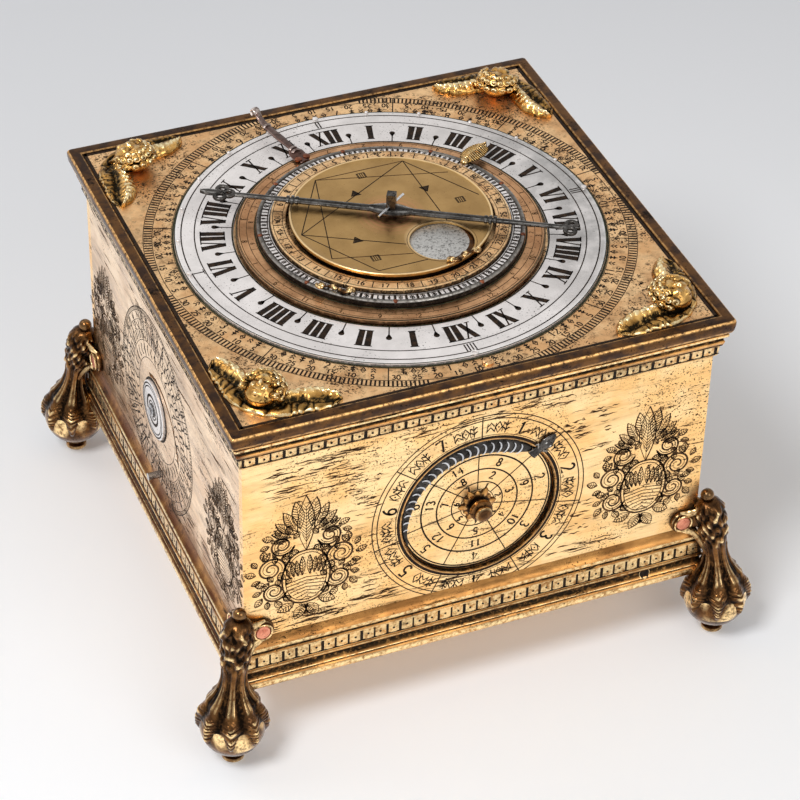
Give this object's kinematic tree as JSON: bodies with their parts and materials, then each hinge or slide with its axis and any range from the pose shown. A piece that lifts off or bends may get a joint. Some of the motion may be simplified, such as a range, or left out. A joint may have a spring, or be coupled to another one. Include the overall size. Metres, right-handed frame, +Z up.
{
  "type": "astronomical table clock",
  "caption": "Square gilt table clock with a stack of turning dials on its top, a weekday dial in front and claw-and-ball feet.",
  "frame": {"origin": "on the table surface, under the centre of the dial stack", "axes": "+Z up along the centre arbor, -Y towards the front with the weekday dial, -X towards the side with the setting disc"},
  "size_m": [0.2156, 0.2116, 0.1542],
  "materials": {
    "gilt": "worn gilding with dark streaks",
    "pale_gilt": "rubbed pale gilding",
    "dial_gilt": "satin gilding, engraved",
    "dark_bronze": "brown, rubbed bright at the edges",
    "foot_bronze": "cast and chased, dark in the hollows",
    "cast_gilt": "cast, chased and gilt",
    "silvered": "silvered, engraved and filled with black",
    "dark_silver": "dark silvered band",
    "copper_red": "copper coloured rivet",
    "copper_gilt": "reddish gilding, engraved",
    "black_steel": "blackened steel with bright edges",
    "bright_steel": "bright steel",
    "brown_steel": "browned steel",
    "movement_brass": "plain worked brass"
  },
  "bodies": {
    "case": {"top_frame": "dark_bronze", "cornice": "gilt", "base_moulding": "gilt", "front_panel": "gilt", "back_panel": "gilt", "right_panel": "gilt", "left_panel": "pale_gilt", "bottom_cover": "gilt", "cover_screw_1": "bright_steel", "cover_screw_2": "bright_steel", "cover_screw_3": "bright_steel", "cover_screw_4": "bright_steel", "foot_front_left": "foot_bronze", "foot_front_right": "foot_bronze", "foot_back_left": "foot_bronze", "foot_back_right": "foot_bronze", "dial_plate": "dial_gilt", "chapter_ring": "silvered", "cherub_front_left": "cast_gilt", "cherub_front_right": "cast_gilt", "cherub_back_left": "cast_gilt", "cherub_back_right": "cast_gilt", "weekday_bridge": "movement_brass", "lower_plate": "movement_brass", "upper_plate": "movement_brass", "barrel_arbor": "bright_steel", "crown_potence": "movement_brass", "balance_cock": "movement_brass"},
    "year": {"year_ring": "copper_gilt", "date_arm": "brown_steel", "date_arm_rivet_1": "copper_red", "date_arm_rivet_2": "copper_red"},
    "sun": {"sun_ring": "dark_silver", "age_ring": "dial_gilt", "phase_disc": "silvered", "sun_pointer": "cast_gilt", "sun_scroll": "cast_gilt", "sun_wheel": "movement_brass"},
    "moon": {"aspect_disc": "dial_gilt", "moon_scroll": "cast_gilt", "moon_wheel": "movement_brass"},
    "hand": {"centre_arbor": "black_steel", "long_hand": "black_steel", "taper_pin": "bright_steel"},
    "idler": {"idler_pinion": "bright_steel"},
    "weekday": {"weekday_disc": "gilt", "weekday_arbor": "dark_bronze", "weekday_serpent": "black_steel"},
    "setting": {"setting_disc": "silvered"},
    "pin": {"push_pin": "bright_steel"},
    "day": {"day_wheel": "movement_brass"},
    "fusee": {"fusee": "movement_brass", "great_wheel": "movement_brass"},
    "barrel": {"spring_barrel": "movement_brass", "mainspring": "bright_steel"},
    "second": {"second_wheel": "movement_brass"},
    "contrate": {"contrate_wheel": "movement_brass"},
    "crown": {"crown_wheel": "movement_brass"},
    "balance": {"verge": "bright_steel", "balance_wheel": "movement_brass"}
  },
  "joints": [
    {"name": "sun_turn", "type": "hinge", "parent": "case", "child": "sun", "pos_m": [0, 0, 0.1403], "axis": [0, 0, 1], "continuous": true},
    {"name": "hand_turn", "type": "hinge", "parent": "case", "child": "hand", "pos_m": [0, 0, 0.1464], "axis": [0, 0, 1], "continuous": true},
    {"name": "moon_turn", "type": "hinge", "parent": "case", "child": "moon", "pos_m": [0, 0, 0.145], "axis": [0, 0, 1], "continuous": true},
    {"name": "year_turn", "type": "hinge", "parent": "case", "child": "year", "pos_m": [0, 0, 0.139], "axis": [0, 0, 1], "continuous": true},
    {"name": "idler_turn", "type": "hinge", "parent": "case", "child": "idler", "pos_m": [0.01507, 0.02611, 0.115], "axis": [0, 0, 1], "continuous": true},
    {"name": "weekday_turn", "type": "hinge", "parent": "case", "child": "weekday", "pos_m": [0, -0.0812, 0.0792], "axis": [0, -1, 0], "continuous": true},
    {"name": "setting_turn", "type": "hinge", "parent": "case", "child": "setting", "pos_m": [-0.0848, 0.008, 0.077], "axis": [-1, 0, 0], "continuous": true},
    {"name": "pin_push", "type": "slide", "parent": "case", "child": "pin", "axis": [1, 0, 0], "range_m": [0, 0.002]},
    {"name": "contrate_turn", "type": "hinge", "parent": "case", "child": "contrate", "pos_m": [-0.00758, 0.01808, 0.072], "axis": [0, 0, 1], "continuous": true},
    {"name": "crown_turn", "type": "hinge", "parent": "case", "child": "crown", "pos_m": [-0.00758, 0.01808, 0.07658], "axis": [0.8191, 0.5736, 0], "continuous": true},
    {"name": "second_turn", "type": "hinge", "parent": "case", "child": "second", "pos_m": [-0.03295, 0.00885, 0.09], "axis": [0, 0, 1], "continuous": true},
    {"name": "fusee_turn", "type": "hinge", "parent": "case", "child": "fusee", "pos_m": [-0.02709, -0.02439, 0.07], "axis": [0, 0, 1], "continuous": true},
    {"name": "day_turn", "type": "hinge", "parent": "case", "child": "day", "pos_m": [0, 0, 0.105], "axis": [0, 0, 1], "continuous": true},
    {"name": "barrel_turn", "type": "hinge", "parent": "case", "child": "barrel", "pos_m": [0.027, -0.027, 0.075], "axis": [0, 0, 1], "continuous": true},
    {"name": "balance_swing", "type": "hinge", "parent": "case", "child": "balance", "pos_m": [0.02396, 0.04016, 0.0435], "axis": [0, 0, 1], "range_deg": [-55, 55]}
  ],
  "couplings": [
    {"joint": "hand_turn", "follows": "sun_turn", "ratio": 1},
    {"joint": "moon_turn", "follows": "sun_turn", "ratio": 0.9661},
    {"joint": "year_turn", "follows": "sun_turn", "ratio": -0.0027379},
    {"joint": "idler_turn", "follows": "sun_turn", "ratio": -5.7},
    {"joint": "weekday_turn", "follows": "sun_turn", "ratio": 0.14286},
    {"joint": "crown_turn", "follows": "contrate_turn", "ratio": 7},
    {"joint": "second_turn", "follows": "contrate_turn", "ratio": -0.125},
    {"joint": "fusee_turn", "follows": "contrate_turn", "ratio": 0.015625},
    {"joint": "day_turn", "follows": "contrate_turn", "ratio": -0.0019531},
    {"joint": "barrel_turn", "follows": "contrate_turn", "ratio": 0.00944}
  ]
}
